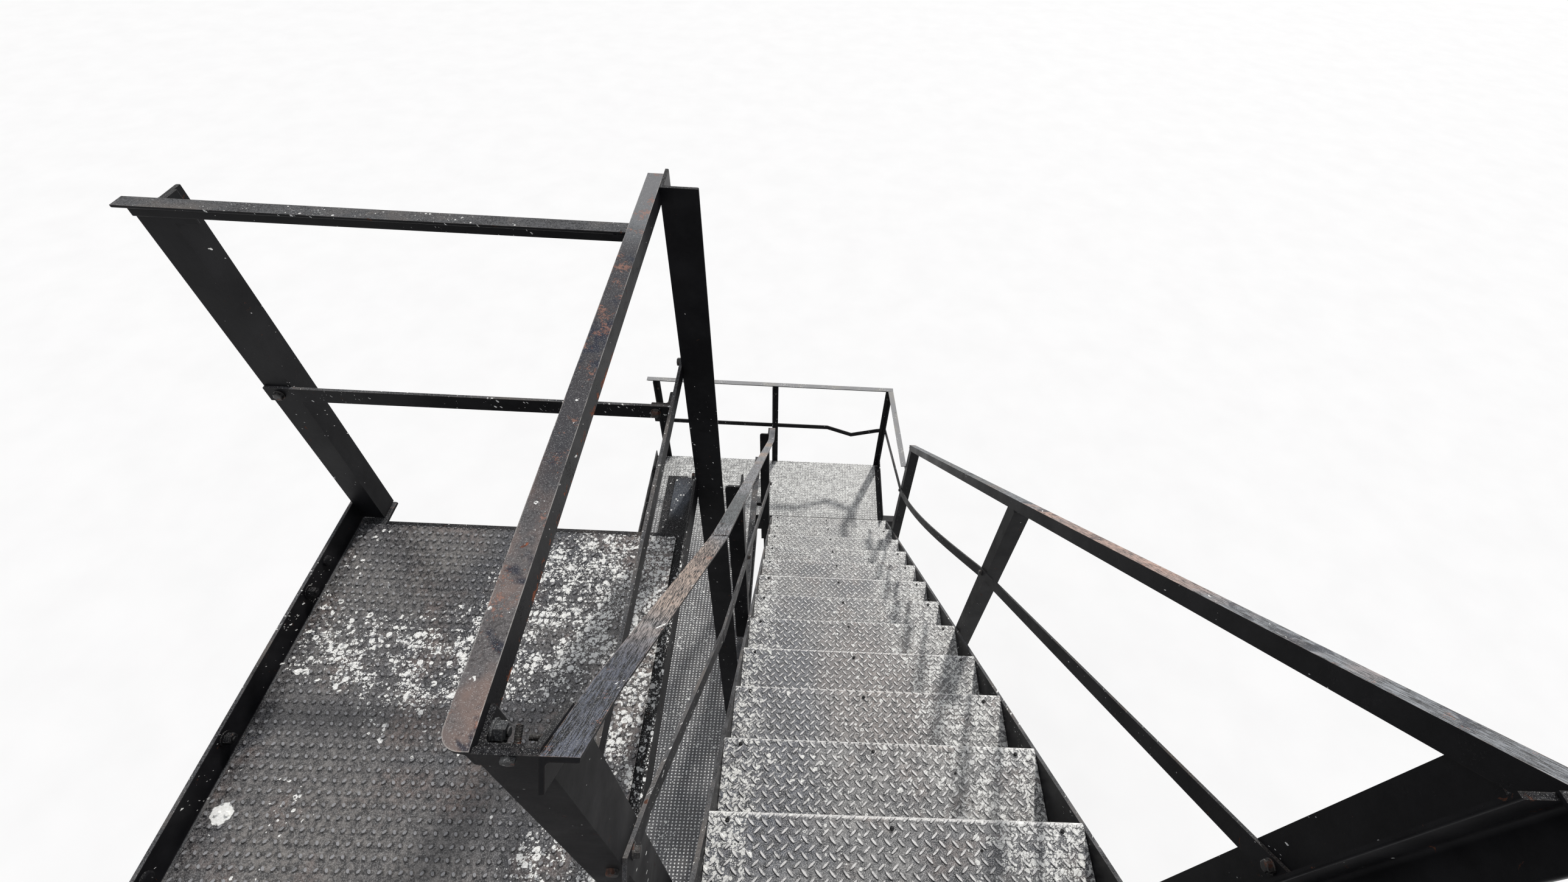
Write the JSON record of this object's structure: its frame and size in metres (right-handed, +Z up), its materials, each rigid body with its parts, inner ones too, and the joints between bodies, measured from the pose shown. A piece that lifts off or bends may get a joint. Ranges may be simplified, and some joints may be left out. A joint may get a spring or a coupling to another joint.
{
  "type": "fire escape stair",
  "caption": "Steel fire escape stair in two flights with balconies, angle posts, handrails and mid rails, bracketed to a wall and standing on columns",
  "frame": {"origin": "centre of the underside of the far column's foot plate", "axes": "+X out from the wall, +Y along the wall from the head of the flights to their foot, +Z up"},
  "size_m": [1.7652, 4.2313, 6.4796],
  "materials": {
    "black_paint": "black gloss paint, weathered, with rust at the edges",
    "worn_rail_paint": "black paint worn through to brown rust and salmon primer on top",
    "weathered_rail_paint": "paint weathered to pale grey",
    "tread_plate": "raised-pattern plate, grey, with pale lichen",
    "upper_floor_plate": "plate with round knobs, dark grey-brown, with pale lichen",
    "lower_floor_plate": "plate with small raised dots, pale grey"
  },
  "bodies": {
    "root": {"column_feet": "black_paint", "far_column": "black_paint", "near_left_column": "black_paint", "near_right_column": "black_paint", "end_columns": "black_paint", "landing_columns": "black_paint", "lower_ledger": "black_paint", "lower_edge_angles": "black_paint", "lower_beams": "black_paint", "landing_beams": "black_paint", "lower_bearers": "black_paint", "lower_floor_plates": "lower_floor_plate", "lower_stringers": "black_paint", "lower_treads": "tread_plate", "lower_tread_cleats": "black_paint", "lower_flight_posts": "black_paint", "lower_handrails": "worn_rail_paint", "lower_flight_mid_rails": "black_paint", "landing_guard_posts": "black_paint", "landing_top_rails": "weathered_rail_paint", "landing_mid_rails": "black_paint", "lower_balcony_rails": "black_paint", "lower_head_guard": "black_paint", "upper_ledger": "black_paint", "upper_edge_angles": "black_paint", "upper_beams": "black_paint", "beam_clips": "black_paint", "upper_bearers": "black_paint", "upper_floor_plates": "upper_floor_plate", "left_stringer": "black_paint", "right_stringer": "black_paint", "upper_treads": "tread_plate", "upper_tread_cleats": "black_paint", "left_flight_posts": "black_paint", "right_flight_posts": "black_paint", "left_handrail": "worn_rail_paint", "right_handrail": "worn_rail_paint", "left_mid_rail": "black_paint", "right_mid_rail": "black_paint", "wall_posts": "black_paint", "end_rails": "black_paint", "outer_top_rail": "worn_rail_paint", "outer_mid_rail": "black_paint", "head_guard": "black_paint", "rail_clips": "black_paint"}
  },
  "joints": []
}
